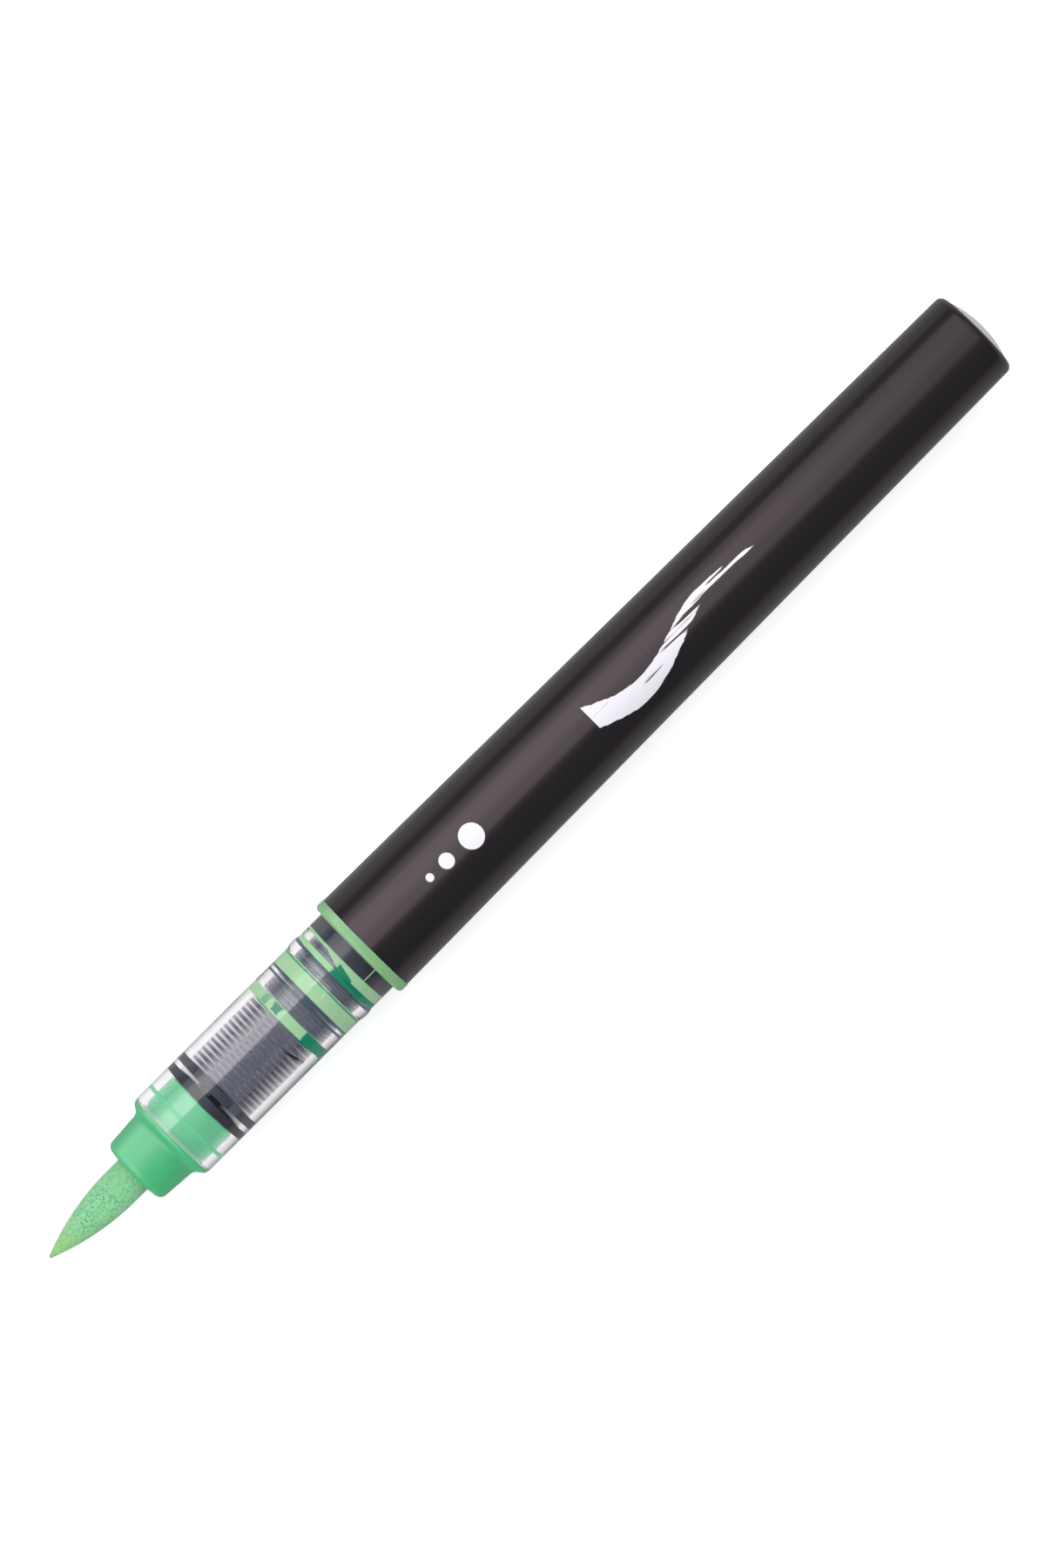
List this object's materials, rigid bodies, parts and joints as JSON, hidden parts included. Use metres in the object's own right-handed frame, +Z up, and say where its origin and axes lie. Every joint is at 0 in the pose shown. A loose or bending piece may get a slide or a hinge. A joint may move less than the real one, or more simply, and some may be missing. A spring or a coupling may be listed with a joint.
{
  "type": "brush pen",
  "caption": "Free-ink brush pen, uncapped: flexible felt brush, green holder, clear grip over a finned ink collector, black tapered barrel.",
  "frame": {"origin": "under the middle of the pen's length, on the floor that the colour ring touches while the pen lies with its axis level", "axes": "+X along the pen towards the brush's point, +Z up, +Y to the left seen from the tail"},
  "size_m": [0.14, 0.0128, 0.0128],
  "materials": {
    "felt": "porous felt soaked with green ink",
    "green_plastic": "translucent moulded plastic, satin",
    "sage_plastic": "translucent moulded plastic, satin",
    "seal_plastic": "soft black plastic",
    "clear_plastic": "polished transparent plastic",
    "slate_plastic": "moulded slate plastic, wet with ink",
    "wick_fibre": "bonded fibre rod soaked with ink",
    "ink": "liquid ink",
    "black_plastic": "satin moulded black plastic",
    "grey_plastic": "pale grey moulded plastic"
  },
  "bodies": {
    "pen": {"nib_root": "felt", "nib_holder": "green_plastic", "colour_ring": "sage_plastic", "seal_ring": "seal_plastic", "clear_section": "clear_plastic", "ink_collector": "slate_plastic", "feed_wick": "wick_fibre", "ink_ring_front": "ink", "ink_ring_middle": "ink", "ink_ring_rear": "ink", "ink_ring_collar": "ink", "ink_charge": "ink", "barrel": "black_plastic", "tail_plug": "grey_plastic"},
    "brush": {"brush_nib": "felt"}
  },
  "joints": [
    {"name": "nib_flex", "type": "hinge", "parent": "pen", "child": "brush", "pos_m": [0.0594, 0, 0.00638], "axis": [0, 1, 0], "range_deg": [-25, 25], "stiffness_Nm_per_rad": 0.01}
  ]
}
